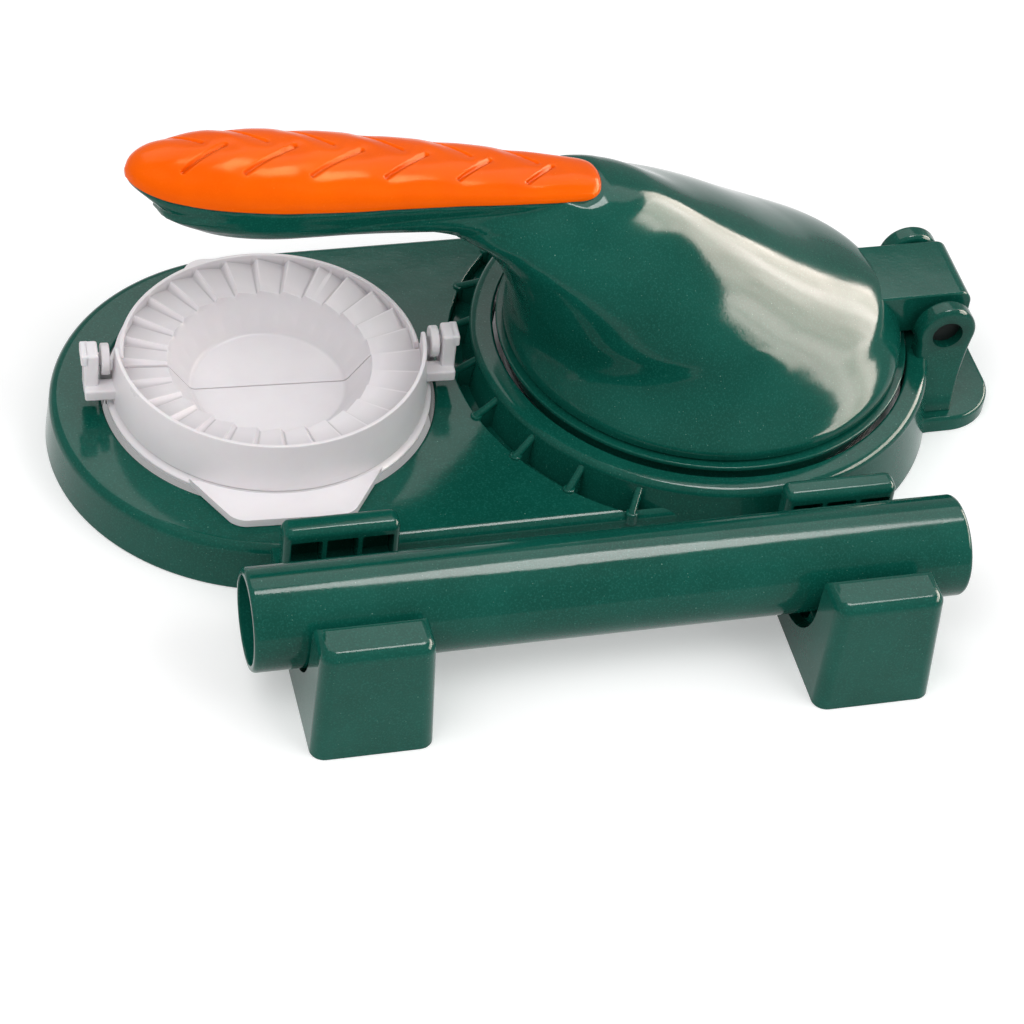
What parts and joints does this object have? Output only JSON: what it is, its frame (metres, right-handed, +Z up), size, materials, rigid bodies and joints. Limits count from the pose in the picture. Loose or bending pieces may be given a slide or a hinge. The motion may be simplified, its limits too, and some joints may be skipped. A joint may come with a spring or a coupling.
{
  "type": "empanada press",
  "caption": "Two-in-one hand press: a hinged lever flattens dough into a round sheet beside a folding pleat mould, with a rolling pin resting in front cradles.",
  "frame": {"origin": "on the surface it stands on, under the centre of the round press", "axes": "+X towards the lever's hinge, -X towards the mould and the handle's tip, -Y towards the rolling pin, +Z up"},
  "size_m": [0.2797, 0.2004, 0.1049],
  "materials": {
    "green_plastic": "gloss with a fine pale speckle",
    "orange_plastic": "gloss",
    "white_plastic": "satin, slightly translucent",
    "steel": "satin",
    "black_pin": "satin"
  },
  "bodies": {
    "base": {"base_shell": "green_plastic", "lower_press_plate": "steel", "lower_plate_screws": "steel", "hinge_pin": "black_pin"},
    "lever": {"lever_shell": "green_plastic", "handle_grip": "orange_plastic", "grip_screws": "steel", "upper_press_plate": "green_plastic"},
    "rolling_pin": {"rolling_pin": "green_plastic"},
    "mould_rear": {"mould_rear_half": "white_plastic"},
    "mould_front": {"mould_front_half": "white_plastic"}
  },
  "joints": [
    {"name": "lever_hinge", "type": "hinge", "parent": "base", "child": "lever", "pos_m": [0.069, 0, 0.0305], "axis": [0, 1, 0], "range_deg": [0, 100]},
    {"name": "rolling_pin_lift", "type": "slide", "parent": "base", "child": "rolling_pin", "axis": [0, 0, 1], "range_m": [0, 0.06]},
    {"name": "mould_lift", "type": "slide", "parent": "base", "child": "mould_rear", "axis": [0, 0, 1], "range_m": [0, 0.012]},
    {"name": "mould_fold", "type": "hinge", "parent": "mould_rear", "child": "mould_front", "pos_m": [-0.128, 0, 0.03], "axis": [-0.9988, 0.0488, 0], "range_deg": [0, 60]}
  ]
}
